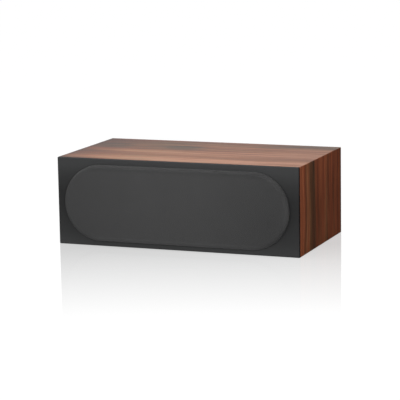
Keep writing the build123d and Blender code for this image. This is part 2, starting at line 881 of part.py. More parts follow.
def lead(points):
    """Round lead along straight runs and tangent arcs, as wide as the shorter run allows."""
    radii = []
    for before, corner, after in zip(points, points[1:], points[2:]):
        run_in = Vector(*corner) - Vector(*before)
        run_out = Vector(*after) - Vector(*corner)
        half_turn = math.radians(run_in.get_angle(run_out) / 2)
        radii.append(0.45 * min(run_in.length, run_out.length) / math.tan(half_turn))
    path = FilletPolyline(*points, radius=radii)
    section = Plane(origin=points[0], z_dir=(0, 1, 0)) * Circle(lead_radius)
    return sweep(section, path=path)


def woofer_lead(side):
    """From a bass driver's tag, back and through the brace's window, to the board."""
    start_x = side * (woofer_x - tag_radius())
    start_y = front + spider_depth + tag_thickness
    end_x = side * (board_width / 2 - 3 * part_gap)
    end_z = mid_height - 4 * part_gap
    third = (board_front - start_y) / 3
    return lead(
        [
            (start_x, start_y, mid_height),
            (start_x, start_y + third, mid_height),
            (end_x, board_front - third, end_z),
            (end_x, board_front, end_z),
        ]
    )


def tweeter_lead():
    """From the back of the tweeter's faceplate to the board."""
    start_y = front + tweeter_plate
    start_z = mid_height - (tweeter_magnet_radius + tweeter_cutout_radius) / 2
    end_z = mid_height - 2.5 * part_gap
    third = (board_front - start_y) / 3
    return lead(
        [
            (0, start_y, start_z),
            (0, start_y + third, start_z),
            (0, board_front - third, end_z),
            (0, board_front, end_z),
        ]
    )


def build():
    """Every node by name, each a solid or a list of solids."""
    nodes = wrap_panels()
    nodes["front_baffle"] = front_baffle()
    nodes["rear_panel"] = rear_panel()
    for name, side in (("left", -1), ("right", 1)):
        nodes[name + "_brace"] = Pos(side * brace_x, 0, 0) * brace()
    nodes["right_wadding"] = wadding()
    nodes["left_wadding"] = mirror(wadding(), Plane.YZ)
    nodes["port_tube"] = port_tube()
    nodes["terminal_plate"] = terminal_plate()
    seat = Pos(0, terminal_screw_seat(), 0)
    rear_screws = [on_rear(x, z, seat * screw()) for x, z in terminal_screw_places()]
    nodes["rear_screws"] = rear_screws + board_screws()
    for name in post_places():
        nodes[name + "_post"] = on_terminal(name, binding_post())
        nodes[name + "_knob_bush"] = on_terminal(name, knob_bush())
        nodes[name + "_knob"] = on_terminal(name, knob())
    nodes["post_nuts"] = [
        Pos(x, board_front - nut_thickness, mid_height) * nut() for x in post_places().values()
    ]
    nodes["crossover_board"] = crossover_board()
    nodes["board_spacers"] = board_spacers()
    nodes.update(crossover_parts())
    pieces = woofer()
    driver_screws = []
    tags = []
    for name, side in (("left", -1), ("right", 1)):
        turn = Rot(0, 90 - 90 * side, 0)
        for piece, solid in pieces.items():
            nodes[name + "_woofer_" + piece] = on_front(side * woofer_x, mid_height, turn * solid)
        tags.append(on_front(side * woofer_x, mid_height, turn * terminal_tag()))
        for part in woofer_screw_ring(screw()):
            driver_screws.append(on_front(side * woofer_x, mid_height, turn * part))
        nodes[name + "_woofer_lead"] = woofer_lead(side)
    for piece, solid in tweeter().items():
        nodes[piece] = on_front(0, mid_height, solid)
    for part in tweeter_screw_ring(screw()):
        driver_screws.append(on_front(0, mid_height, part))
    nodes["driver_screws"] = driver_screws
    nodes["woofer_tags"] = tags
    nodes["tweeter_lead"] = tweeter_lead()
    nodes["grille_frame"] = grille_frame()
    nodes["grille_cloth"] = grille_cloth()
    nodes["grille_magnets"] = magnet_discs(grille_back)
    nodes["baffle_magnets"] = magnet_discs(front + magnet_skin + grille_magnet_thickness)
    return nodes


def write_parts(nodes):
    os.makedirs("parts", exist_ok=True)
    for name, shape in nodes.items():
        solids = shape if isinstance(shape, list) else [shape]
        found = [solid for part in solids for solid in part.solids()]
        export_step(Compound(children=found), os.path.join("parts", name + ".step"))
    print(len(nodes), "nodes written")


write_parts(build())
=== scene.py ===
import bmesh
import bpy
import json
from math import hypot, pi, radians
from mathutils import Matrix, Vector, noise as wobble


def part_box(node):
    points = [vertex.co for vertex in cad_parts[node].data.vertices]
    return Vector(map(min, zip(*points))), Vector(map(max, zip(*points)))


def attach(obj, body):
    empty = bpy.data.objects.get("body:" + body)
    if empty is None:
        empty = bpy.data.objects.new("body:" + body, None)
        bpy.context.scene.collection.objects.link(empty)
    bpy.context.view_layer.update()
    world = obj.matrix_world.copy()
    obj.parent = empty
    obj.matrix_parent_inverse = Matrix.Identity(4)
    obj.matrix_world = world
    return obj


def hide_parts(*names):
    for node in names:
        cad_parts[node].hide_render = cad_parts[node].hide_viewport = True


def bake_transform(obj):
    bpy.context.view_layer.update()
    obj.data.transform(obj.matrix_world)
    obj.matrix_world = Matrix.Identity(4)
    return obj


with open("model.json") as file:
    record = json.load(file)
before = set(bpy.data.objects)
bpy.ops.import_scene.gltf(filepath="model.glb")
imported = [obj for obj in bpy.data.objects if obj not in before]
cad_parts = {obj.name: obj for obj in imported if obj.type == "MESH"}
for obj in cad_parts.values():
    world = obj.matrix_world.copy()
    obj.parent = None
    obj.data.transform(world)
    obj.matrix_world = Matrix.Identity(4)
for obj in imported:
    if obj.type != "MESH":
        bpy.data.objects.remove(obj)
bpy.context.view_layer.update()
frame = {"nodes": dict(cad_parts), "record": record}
nodes = frame["nodes"]
print("frame loaded:", len(nodes), "nodes")


# small helpers for shader trees

def add(tree, kind, values=None, **settings):
    node = tree.nodes.new(kind)
    for name, value in settings.items():
        setattr(node, name, value)
    for name, value in (values or {}).items():
        if isinstance(value, bpy.types.NodeSocket):
            tree.links.new(value, node.inputs[name])
        else:
            node.inputs[name].default_value = value
    return node


def calc(tree, operation, first, second=0.0, third=0.0, clamp=False):
    values = {0: first, 1: second, 2: third}
    return add(tree, "ShaderNodeMath", values, operation=operation, use_clamp=clamp).outputs[0]


def mixColor(tree, factor, first, second):
    values = {0: factor, 6: first, 7: second}
    return add(tree, "ShaderNodeMix", values, data_type="RGBA").outputs[2]


def tinted(tree, first, second):
    values = {0: 1.0, 6: first, 7: second}
    return add(tree, "ShaderNodeMix", values, data_type="RGBA", blend_type="MULTIPLY").outputs[2]


def spread(tree, value, low, high, start=0.0, end=1.0):
    values = {"Value": value, "From Min": low, "From Max": high, "To Min": start, "To Max": end}
    return add(tree, "ShaderNodeMapRange", values).outputs["Result"]


def swing(tree, value, reach):  # a value about a half becomes one about nought
    return calc(tree, "MULTIPLY", calc(tree, "SUBTRACT", value, 0.5), reach)


def axisOf(tree, vector, axis):
    return add(tree, "ShaderNodeSeparateXYZ", {0: vector}).outputs[axis]


def lengthOf(tree, vector):
    return add(tree, "ShaderNodeVectorMath", {0: vector}, operation="LENGTH").outputs["Value"]


def ramp(tree, value, stops):
    node = add(tree, "ShaderNodeValToRGB", {"Fac": value})
    elements = node.color_ramp.elements
    while len(elements) < len(stops):
        elements.new(0.5)
    for element, (place, color) in zip(elements, stops):
        element.position = place
        element.color = (*color, 1)
    return node.outputs["Color"]


def gray(*stops):
    return [(place, (level, level, level)) for place, level in stops]


def noise(tree, vector, scale, detail=2.0, rough=0.5, twist=0.0):
    values = {"Vector": vector, "Scale": scale, "Detail": detail, "Roughness": rough, "Distortion": twist}
    return add(tree, "ShaderNodeTexNoise", values).outputs["Fac"]


def stretchedNoise(tree, vector, scale, detail=2.0):
    stretched = add(tree, "ShaderNodeMapping", {"Vector": vector, "Scale": scale})
    return noise(tree, stretched.outputs[0], 1.0, detail)


def newGroup(name, inputs, outputs):
    tree = bpy.data.node_groups.new(name, "ShaderNodeTree")
    for label, kind, value in inputs:
        socket = tree.interface.new_socket(name=label, in_out="INPUT", socket_type="NodeSocket" + kind)
        if kind != "Vector":
            socket.default_value = value
    for label, kind in outputs:
        tree.interface.new_socket(name=label, in_out="OUTPUT", socket_type="NodeSocket" + kind)
    return tree, tree.nodes.new("NodeGroupInput").outputs, tree.nodes.new("NodeGroupOutput")


def newMaterial(name):
    material = bpy.data.materials.new(name)
    material.use_nodes = True
    tree = material.node_tree
    tree.nodes.clear()
    skin = add(tree, "ShaderNodeBsdfPrincipled")
    out = add(tree, "ShaderNodeOutputMaterial", {"Surface": skin.outputs[0]})
    out.name = "Surface"
    place = add(tree, "ShaderNodeTexCoord").outputs["Object"]
    return material, tree, skin, place


def bumpTo(tree, skin, height, distance, strength=1.0):
    bump = add(tree, "ShaderNodeBump", {"Height": height, "Strength": strength, "Distance": distance})
    tree.links.new(bump.outputs["Normal"], skin.inputs["Normal"])


def paint(material, *names):
    for name in names:
        mesh = nodes[name].data
        mesh.materials.clear()
        mesh.materials.append(material)


# shared surface effects

grainLook = {"detail": 3.0, "fineRough": 0.6, "broadRough": 0.55, "mottle": (0.33, 0.67)}
weaveLook = {"wanderScale": 60.0, "wander": 0.0012, "threadShade": 0.7,
             "fuzzScale": 2600.0, "fuzzHeight": 0.4, "fuzzShade": 0.3}


def surfaceGrain():
    tree, given, out = newGroup(
        "surfaceGrain",
        [("Vector", "Vector", None), ("Scale", "Float", 900.0), ("Patch Scale", "Float", 30.0),
         ("Roughness", "Float", 0.5), ("Spread", "Float", 0.1)],
        [("Height", "Float"), ("Roughness", "Float"), ("Mottle", "Float")])
    fine = noise(tree, given["Vector"], given["Scale"], grainLook["detail"], grainLook["fineRough"])
    broad = noise(tree, given["Vector"], given["Patch Scale"], grainLook["detail"], grainLook["broadRough"])
    rough = calc(tree, "ADD", swing(tree, broad, given["Spread"]), given["Roughness"])
    rough = calc(tree, "ADD", rough, swing(tree, fine, given["Spread"]), clamp=True)
    tree.links.new(fine, out.inputs["Height"])
    tree.links.new(rough, out.inputs["Roughness"])
    tree.links.new(spread(tree, broad, *grainLook["mottle"]), out.inputs["Mottle"])
    return tree


def veneerFigure():
    tree, given, out = newGroup(
        "veneerFigure",
        [("Vector", "Vector", None), ("Band", "Float", 0.5), ("Olive", "Float", 0.0),
         ("Broad", "Float", 1.0), ("Lines", "Float", 1.0), ("Tint", "Color", (1, 1, 1, 1))],
        [("Color", "Color"), ("Roughness", "Float"), ("Height", "Float")])
    drift = noise(tree, given["Vector"], veneerLook["driftScale"], 2.0)  # grain wanders a little
    shift = add(tree, "ShaderNodeCombineXYZ", {"Y": swing(tree, drift, veneerLook["drift"])}).outputs[0]
    bent = add(tree, "ShaderNodeVectorMath", {0: given["Vector"], 1: shift}, operation="ADD").outputs[0]

    def streaks(kind):
        along, across, detail, seed = veneerLook[kind]
        size = add(tree, "ShaderNodeMapping", {"Vector": bent, "Location": (seed, seed * 1.7, seed * 0.6),
                                               "Scale": (along, across, across)})
        value = noise(tree, size.outputs[0], 1.0, detail, veneerLook["streakRough"])
        ends = veneerLook["streakEnds"].get(kind)
        return spread(tree, value, *ends) if ends else value

    wide, narrow, middle = streaks("wide"), streaks("narrow"), streaks("middle")
    fine, pores = streaks("fine"), streaks("pores")
    broad = swing(tree, wide, veneerLook["wideShare"])
    lines = calc(tree, "MULTIPLY_ADD", narrow, veneerLook["narrowShare"], veneerLook["lineShift"])
    lines = calc(tree, "MULTIPLY_ADD", middle, veneerLook["middleShare"], lines)
    lines = calc(tree, "MULTIPLY_ADD", fine, veneerLook["fineShare"], lines)
    tone = calc(tree, "MULTIPLY_ADD", broad, given["Broad"], given["Band"])
    tone = calc(tree, "MULTIPLY_ADD", lines, given["Lines"], tone, clamp=True)
    red = ramp(tree, tone, veneerLook["redTones"])
    olive = ramp(tree, tone, veneerLook["oliveTones"])
    hue = calc(tree, "ADD", streaks("hue"), given["Olive"], clamp=True)
    color = tinted(tree, mixColor(tree, hue, red, olive), given["Tint"])
    filled = calc(tree, "MULTIPLY", pores, veneerLook["poreShare"])
    tree.links.new(mixColor(tree, filled, color, (*veneerLook["poreColor"], 1)), out.inputs["Color"])
    rough = calc(tree, "MULTIPLY_ADD", fine, veneerLook["fineRough"], veneerLook["roughness"])
    rough = calc(tree, "MULTIPLY_ADD", pores, veneerLook["poreRough"], rough)
    tree.links.new(rough, out.inputs["Roughness"])
    tree.links.new(calc(tree, "SUBTRACT", fine, pores), out.inputs["Height"])
    return tree


def wovenThreads():
    tree, given, out = newGroup(
        "wovenThreads", [("Vector", "Vector", None), ("Pitch", "Float", 0.0008)],
        [("Height", "Float"), ("Shade", "Float")])
    turns = calc(tree, "DIVIDE", 2 * pi, given["Pitch"])
    place = add(tree, "ShaderNodeSeparateXYZ", {0: given["Vector"]}).outputs
    wander = noise(tree, given["Vector"], weaveLook["wanderScale"], 2.0)
    wander = calc(tree, "MULTIPLY", wander, weaveLook["wander"])
    across = calc(tree, "ADD", calc(tree, "ADD", place["X"], place["Y"]), wander)
    upright = calc(tree, "ADD", calc(tree, "ADD", place["Z"], place["Y"]), wander)
    waves = [calc(tree, "SINE", calc(tree, "MULTIPLY", value, turns)) for value in (across, upright)]
    height = calc(tree, "MULTIPLY_ADD", calc(tree, "MULTIPLY", *waves), 0.5, 0.5)
    fuzz = noise(tree, given["Vector"], weaveLook["fuzzScale"], 2.0)
    tree.links.new(calc(tree, "MULTIPLY_ADD", fuzz, weaveLook["fuzzHeight"], height), out.inputs["Height"])
    # painted shade: darker in the low places between threads and paler on their crowns; the fuzz adds
    # random tone
    shade = calc(tree, "MULTIPLY", height, weaveLook["threadShade"])
    tree.links.new(calc(tree, "MULTIPLY_ADD", fuzz, weaveLook["fuzzShade"], shade), out.inputs["Shade"])
    return tree


veneerLook = {
    "redTones": [(0.0, (0.03, 0.014, 0.009)), (0.25, (0.09, 0.030, 0.016)), (0.5, (0.21, 0.068, 0.028)),
                 (0.72, (0.33, 0.118, 0.047)), (1.0, (0.54, 0.255, 0.145))],
    "oliveTones": [(0.0, (0.022, 0.017, 0.012)), (0.25, (0.065, 0.042, 0.024)), (0.5, (0.16, 0.088, 0.038)),
                   (0.72, (0.28, 0.15, 0.065)), (1.0, (0.48, 0.29, 0.15))],
    # streaks: scale along the grain, scale across it, detail, place in the noise
    "wide": (3.0, 34, 2, 3.1), "narrow": (4.5, 80, 2, 9.3), "middle": (6.0, 190, 2, 7.7),
    "fine": (14, 620, 3, 1.3), "pores": (40, 1500, 1, 5.2), "hue": (2.2, 55, 2, 11.4),
    "streakEnds": {"wide": (0.3, 0.7), "narrow": (0.32, 0.68), "middle": (0.3, 0.7), "pores": (0.62, 0.72),
                   "hue": (0.52, 0.72)}, "streakRough": 0.55,
    "wideShare": 0.36, "narrowShare": 0.32, "middleShare": 0.2, "fineShare": 0.34, "lineShift": -0.43,
    "poreColor": (0.02, 0.008, 0.005), "poreShare": 0.35, "poreRough": 0.1,
    "fineRough": 0.12, "roughness": 0.36,
    "drift": 0.03, "driftScale": 5.0, "grainDepth": 0.00006, "grainStrength": 0.5, "specular": 0.4,
    "bandWander": 0.012, "wanderScale": (4, 12, 4), "patchRag": 1.4, "ragScale": (9, 60, 60),
    "patchFade": (0.45, 1.3), "patchDark": -0.3, "patchOlive": 0.9,
    "topPatches": [(-0.19, 0.045, 0.06, 0.042, 1.0), (-0.055, 0.043, 0.055, 0.028, 1.0),
                   (-0.12, 0.06, 0.14, 0.06, 0.55), (0.19, 0.112, 0.1, 0.034, 0.55),
                   (-0.18, -0.085, 0.13, 0.06, 0.28)],   # middle, reach, share
    "topBands": gray((0.0, 0.88), (0.1, 0.89), (0.17, 0.81), (0.23, 0.69), (0.31, 0.7), (0.37, 0.8),
                     (0.42, 0.8), (0.56, 0.85), (0.7, 0.75), (0.83, 0.69), (0.95, 0.58), (1.0, 0.52)),
    "topBroad": 0.9, "topLines": 0.9, "topTint": (1.01, 0.97, 0.98),
    "warmPatches": [(0.17, 0.055, 0.17, 0.06, 1.0)], "warmTint": (0.88, 0.77, 0.68),
    "topFall": [(0.0, (0.24, 0.15, 0.12)), (0.012, (0.46, 0.32, 0.26)), (0.03, (0.58, 0.4, 0.33)),
                (0.083, (0.78, 0.58, 0.5)), (0.125, (0.88, 0.7, 0.63)), (0.2, (1.0, 0.88, 0.84)),
                (0.3, (1.0, 1.0, 1.0))],
    "sideBands": gray((0.0, 0.66), (0.14, 0.62), (0.18, 0.57), (0.24, 0.36), (0.31, 0.34), (0.36, 0.48),
                      (0.42, 0.58), (0.58, 0.58), (0.64, 0.43), (0.68, 0.48), (0.77, 0.51), (0.86, 0.44),
                      (1.0, 0.4)),
    "sideOlive": gray((0.0, 0.0), (0.2, 0.05), (0.25, 0.8), (0.31, 0.7), (0.36, 0.1), (0.6, 0.0),
                      (0.65, 0.3), (0.72, 0.0), (1.0, 0.1)),
    "sideBroad": 0.25, "sideLines": 0.9, "sideTint": (1.27, 1.01, 1.045),
    "sideFall": gray((0.0, 0.835), (0.5, 0.84), (0.64, 0.89), (0.75, 0.92), (0.95, 1.0)),
}
grainGroup = surfaceGrain()
veneerGroup = veneerFigure()
weaveGroup = wovenThreads()
print("shared surface effects built")


# veneered panels: grain along the width on top, bottom and rear, upright on the sides

def veneerMaterial(name, turn, shift, ownFigure=None):
    material, tree, skin, place = newMaterial(name)
    grain = add(tree, "ShaderNodeMapping", {"Vector": place, "Rotation": turn, "Location": shift})
    figure = add(tree, "ShaderNodeGroup", {"Vector": grain.outputs[0]}, node_tree=veneerGroup)
    if ownFigure:
        ownFigure(tree, place, figure)
    tree.links.new(figure.outputs["Color"], skin.inputs["Base Color"])
    tree.links.new(figure.outputs["Roughness"], skin.inputs["Roughness"])
    bumpTo(tree, skin, figure.outputs["Height"], veneerLook["grainDepth"], veneerLook["grainStrength"])
    skin.inputs["Specular IOR Level"].default_value = veneerLook["specular"]
    return material


def panelDepth(tree, place, node):
    low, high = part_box(node)
    wander = swing(tree, stretchedNoise(tree, place, veneerLook["wanderScale"]), veneerLook["bandWander"])
    return spread(tree, calc(tree, "ADD", axisOf(tree, place, "Y"), wander), low.y, high.y)


def patchMask(tree, place, spots):
    ragged = swing(tree, stretchedNoise(tree, place, veneerLook["ragScale"]), veneerLook["patchRag"])
    mask = 0.0
    for x, y, reachX, reachY, share in spots:
        spot = add(tree, "ShaderNodeMapping", {"Vector": place, "Location": (-x / reachX, -y / reachY, 0),
                                               "Scale": (1 / reachX, 1 / reachY, 0)})
        away = calc(tree, "ADD", lengthOf(tree, spot.outputs[0]), ragged)
        mask = calc(tree, "MAXIMUM", spread(tree, away, *veneerLook["patchFade"], share, 0.0), mask)
    return mask


def setFigure(figure, panel):
    for share in ("Broad", "Lines"):
        figure.inputs[share].default_value = veneerLook[panel + share]


def topFigure(tree, place, figure):
    patch = patchMask(tree, place, veneerLook["topPatches"])
    warm = patchMask(tree, place, veneerLook["warmPatches"])
    bands = ramp(tree, panelDepth(tree, place, "top_panel"), veneerLook["topBands"])
    tree.links.new(calc(tree, "MULTIPLY_ADD", patch, veneerLook["patchDark"], bands), figure.inputs["Band"])
    tree.links.new(calc(tree, "MULTIPLY", patch, veneerLook["patchOlive"]), figure.inputs["Olive"])
    setFigure(figure, "top")
    low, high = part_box("top_panel")
    across = spread(tree, axisOf(tree, place, "X"), low.x, high.x)
    fall = ramp(tree, across, veneerLook["topFall"])  # darker toward the left end
    tint = mixColor(tree, warm, (*veneerLook["topTint"], 1), (*veneerLook["warmTint"], 1))
    tree.links.new(tinted(tree, fall, tint), figure.inputs["Tint"])


def sideFigure(tree, place, figure):
    along = panelDepth(tree, place, "right_panel")
    tree.links.new(ramp(tree, along, veneerLook["sideBands"]), figure.inputs["Band"])
    tree.links.new(ramp(tree, along, veneerLook["sideOlive"]), figure.inputs["Olive"])
    setFigure(figure, "side")
    low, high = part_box("right_panel")
    upward = spread(tree, axisOf(tree, place, "Z"), low.z, high.z)
    fall = ramp(tree, upward, veneerLook["sideFall"])  # paler toward the top
    tree.links.new(tinted(tree, fall, (*veneerLook["sideTint"], 1)), figure.inputs["Tint"])


upright, standing = (0, radians(90), 0), (radians(90), 0, 0)
veneerPanels = {  # material, turn of the grain, place in the figure, figure of its own
    "top_panel": ("veneerTop", (0, 0, 0), (0.31, 0.0, 0.0), topFigure),
    "bottom_panel": ("veneerBottom", (0, 0, 0), (1.7, 0.4, 0.0)),
    "right_panel": ("veneerRight", upright, (0.9, 0.2, 0.0), sideFigure),
    "left_panel": ("veneerLeft", upright, (2.3, 0.7, 0.0)),
    "rear_panel": ("veneerRear", standing, (3.1, 0.0, 0.3)),
}
for panel, values in veneerPanels.items():
    paint(veneerMaterial(*values), panel)
print("veneer dressed")


# every other finish of the solids: a base and a shade that it drifts to, with its own grain

finishes = {
    # painted light and shade: the baffle is darker on its end faces, a little darker toward its right end
    # and at mid-height, and paler toward its top and bottom edges
    "baffle_paint": {"color": (0.054, 0.055, 0.056), "shade": (0.058, 0.059, 0.06),
                     "rough": 0.5, "spread": 0.12, "scale": 1500, "patch": 9,
                     "depth": 0.00003, "specular": 0.2,
                     "alongPaintedLight": gray((0.0, 0.35), (0.004, 1.0), (0.8, 1.0),
                                       (0.93, 0.92), (0.996, 0.92), (1.0, 0.32)),
                     "upPaintedLight": gray((0.0, 0.8), (0.07, 0.7), (0.15, 0.56), (0.28, 0.46),
                                    (0.45, 0.34), (0.62, 0.34), (0.78, 0.5), (0.92, 0.77), (1.0, 0.79))},
    "raw_board": {"color": (0.36, 0.24, 0.14), "shade": (0.27, 0.17, 0.10),
                  "rough": 0.85, "spread": 0.2, "scale": 1400, "patch": 160, "depth": 0.0001},
    "moulded_black": {"color": (0.016, 0.016, 0.017), "shade": (0.021, 0.021, 0.022),
                      "rough": 0.5, "spread": 0.16, "scale": 2200, "patch": 25, "depth": 0.00008},
    "grille_moulding": {"color": (0.015, 0.015, 0.016), "shade": (0.02, 0.02, 0.02),
                        "rough": 0.55, "spread": 0.15, "scale": 1900, "patch": 30, "depth": 0.00006},
    "magnet_plating": {"color": (0.62, 0.61, 0.58), "shade": (0.54, 0.53, 0.51),
                       "rough": 0.24, "spread": 0.2, "scale": 2400, "patch": 260,
                       "depth": 0.00002, "metal": 1.0},
    "screw_black": {"color": (0.02, 0.02, 0.021), "shade": (0.034, 0.033, 0.032),
                    "rough": 0.38, "spread": 0.2, "scale": 2600, "patch": 500,
                    "depth": 0.00003, "metal": 0.6},
    "knob_red": {"color": (0.42, 0.018, 0.016), "shade": (0.34, 0.013, 0.012),
                 "rough": 0.3, "spread": 0.14, "scale": 1700, "patch": 120, "depth": 0.00003},
    "knob_black": {"color": (0.014, 0.014, 0.015), "shade": (0.019, 0.019, 0.02),
                   "rough": 0.3, "spread": 0.14, "scale": 1700, "patch": 120, "depth": 0.00003},
    "circuit_board": {"color": (0.30, 0.19, 0.075), "shade": (0.24, 0.145, 0.055),
                      "rough": 0.42, "spread": 0.16, "scale": 1600, "patch": 70, "depth": 0.00004},
    "spacer_nylon": {"color": (0.70, 0.67, 0.58), "shade": (0.62, 0.59, 0.50),
                     "rough": 0.45, "spread": 0.1, "scale": 1500, "patch": 200, "depth": 0.00003},
    "capacitor_sleeve": {"color": (0.50, 0.36, 0.08), "shade": (0.43, 0.30, 0.06),
                         "rough": 0.3, "spread": 0.14, "scale": 900, "patch": 90, "depth": 0.00005},
    "resistor_ceramic": {"color": (0.74, 0.72, 0.66), "shade": (0.66, 0.63, 0.57),
                         "rough": 0.75, "spread": 0.2, "scale": 1300, "patch": 220, "depth": 0.0001},
    "lead_sheath": {"color": (0.022, 0.022, 0.023), "shade": (0.03, 0.03, 0.03),
                    "rough": 0.5, "spread": 0.15, "scale": 1500, "patch": 90, "depth": 0.00004},
    "cast_frame": {"color": (0.035, 0.035, 0.037), "shade": (0.05, 0.05, 0.052),
                   "rough": 0.45, "spread": 0.2, "scale": 1100, "patch": 45,
                   "depth": 0.0001, "metal": 0.35},
    "cap_fibre": {"color": (0.018, 0.018, 0.019), "shade": (0.025, 0.025, 0.026),
                  "rough": 0.55, "spread": 0.2, "scale": 900, "patch": 130, "depth": 0.00005},
    "motor_steel": {"color": (0.50, 0.49, 0.46), "shade": (0.42, 0.41, 0.39),
                    "rough": 0.34, "spread": 0.22, "scale": 1500, "patch": 60,
                    "depth": 0.00004, "metal": 1.0},
    "ferrite": {"color": (0.045, 0.044, 0.043), "shade": (0.065, 0.063, 0.06),
                "rough": 0.6, "spread": 0.25, "scale": 1200, "patch": 80, "depth": 0.00012},
    "dome_metal": {"color": (0.33, 0.33, 0.34), "shade": (0.29, 0.29, 0.30),
                   "rough": 0.28, "spread": 0.16, "scale": 1900, "patch": 140,
                   "depth": 0.00001, "metal": 1.0},
    "surround_rubber": {"color": (0.014, 0.014, 0.0145), "shade": (0.02, 0.02, 0.02),
                        "rough": 0.62, "spread": 0.18, "scale": 1300, "patch": 60, "depth": 0.00005},
    "tweeter_roll": {"color": (0.02, 0.02, 0.021), "shade": (0.028, 0.028, 0.028),
                     "rough": 0.55, "spread": 0.2, "scale": 1700, "patch": 150, "depth": 0.00003},
    "wadding": {"color": (0.72, 0.72, 0.70), "shade": (0.60, 0.60, 0.58),
                "rough": 0.95, "spread": 0.1, "scale": 420, "patch": 60, "depth": 0.0006},
}


plainLook = {"metal": 0.0, "specular": 0.5, "strength": 0.6}   # where a finish has no value of its own


def grained(tree, skin, place, look):
    values = {"Vector": place, "Scale": look["scale"], "Patch Scale": look["patch"],
              "Roughness": look["rough"], "Spread": look["spread"]}
    grain = add(tree, "ShaderNodeGroup", values, node_tree=grainGroup).outputs
    tree.links.new(grain["Roughness"], skin.inputs["Roughness"])
    skin.inputs["Metallic"].default_value = look.get("metal", plainLook["metal"])
    return grain


def paintLightAndShade(tree, place, color, node, look):  # painted light and shade: the tone changes along the piece and up it
    low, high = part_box(node)
    for axis, stops in ((0, look["alongPaintedLight"]), (2, look["upPaintedLight"])):
        share = spread(tree, axisOf(tree, place, axis), low[axis], high[axis])
        color = tinted(tree, color, ramp(tree, share, stops))
    return color


def twoTone(tree, skin, share, look):
    color = mixColor(tree, share, (*look["color"], 1), (*look["shade"], 1))
    tree.links.new(color, skin.inputs["Base Color"])
    return color


def finishMaterial(slot, look):
    material, tree, skin, place = newMaterial(slot)
    grain = grained(tree, skin, place, look)
    color = twoTone(tree, skin, grain["Mottle"], look)
    # painted light and shade where the finish lists them
    if "upPaintedLight" in look:
        color = paintLightAndShade(tree, place, color, slotNodes[slot][0], look)
        tree.links.new(color, skin.inputs["Base Color"])
    skin.inputs["Specular IOR Level"].default_value = look.get("specular", plainLook["specular"])
    bumpTo(tree, skin, grain["Height"], look["depth"], plainLook["strength"])
    return material


slotNodes = {}
for part in frame["record"]["subparts"]:
    slotNodes.setdefault(part["material_slot"], []).append(part["node"])
materials = {slot: finishMaterial(slot, look) for slot, look in finishes.items()}
for slot, material in materials.items():
    paint(material, *slotNodes[slot])
print("plain finishes dressed:", len(materials))


# finishes with a pattern that follows the turned or wound piece

turnedLook = {"color": (0.72, 0.55, 0.27), "shade": (0.62, 0.46, 0.21), "rough": 0.2, "spread": 0.14,
              "scale": 1800, "patch": 300, "lines": (20, 2600, 20), "depth": 0.00002, "strength": 0.5,
              "metal": 1.0}
windingLook = {"color": (0.52, 0.20, 0.085), "shade": (0.34, 0.115, 0.045), "rough": 0.3, "spread": 0.15,
               "scale": 1500, "patch": 90, "wire": 0.0009, "depth": 0.0003, "strength": 0.8, "metal": 0.8}
coneLook = {"color": (0.052, 0.052, 0.054), "shade": (0.072, 0.071, 0.07), "rough": 0.62, "spread": 0.22,
            "scale": 700, "patch": 120, "rings": 0.0042, "ringHeight": 0.3,
            "depth": 0.00014, "strength": 0.6}
spiderLook = {"color": (0.42, 0.29, 0.12), "shade": (0.30, 0.20, 0.08), "rough": 0.8,
              "pitch": 0.0011, "depth": 0.0002, "strength": 0.7}


def waves(tree, value, length):
    return calc(tree, "SINE", calc(tree, "MULTIPLY", value, 2 * pi / length))


def woven(tree, place, look):
    values = {"Vector": place, "Pitch": look["pitch"]}
    return add(tree, "ShaderNodeGroup", values, node_tree=weaveGroup).outputs


def turnedMetal():
    material, tree, skin, place = newMaterial("post_plating")
    grain = grained(tree, skin, place, turnedLook)
    twoTone(tree, skin, grain["Mottle"], turnedLook)
    lines = stretchedNoise(tree, place, turnedLook["lines"], 1.0)
    bumpTo(tree, skin, lines, turnedLook["depth"], turnedLook["strength"])
    return material


def woundCopper():
    material, tree, skin, place = newMaterial("copper_winding")
    turns = waves(tree, axisOf(tree, place, "Y"), windingLook["wire"])
    height = calc(tree, "MULTIPLY_ADD", turns, 0.5, 0.5)
    grain = grained(tree, skin, place, windingLook)
    # random mottle, with painted shade in the grooves between the turns of wire
    mottleAndGrooveShade = calc(tree, "MULTIPLY", grain["Mottle"], calc(tree, "SUBTRACT", 1.0, height))
    twoTone(tree, skin, mottleAndGrooveShade, windingLook)
    bumpTo(tree, skin, height, windingLook["depth"], windingLook["strength"])
    return material


def coneFibre(side):
    material, tree, skin, place = newMaterial(side + "ConeFibre")
    low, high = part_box(side + "_woofer_cone")
    middle = (low + high) / 2
    centred = add(tree, "ShaderNodeMapping", {"Vector": place, "Location": (-middle.x, 0, -middle.z)})
    flat = add(tree, "ShaderNodeVectorMath", {0: centred.outputs[0], 1: (1, 0, 1)}, operation="MULTIPLY")
    rings = waves(tree, lengthOf(tree, flat.outputs[0]), coneLook["rings"])
    grain = grained(tree, skin, place, coneLook)
    twoTone(tree, skin, grain["Mottle"], coneLook)
    height = calc(tree, "MULTIPLY_ADD", rings, coneLook["ringHeight"], grain["Height"])
    bumpTo(tree, skin, height, coneLook["depth"], coneLook["strength"])
    return material


def spiderCloth():
    material, tree, skin, place = newMaterial("spider_cloth")
    weave = woven(tree, place, spiderLook)
    # the weave's painted shade sets the colour
    color = mixColor(tree, weave["Shade"], (*spiderLook["shade"], 1), (*spiderLook["color"], 1))
    tree.links.new(color, skin.inputs["Base Color"])
    skin.inputs["Roughness"].default_value = spiderLook["rough"]
    bumpTo(tree, skin, weave["Height"], spiderLook["depth"], spiderLook["strength"])
    return material


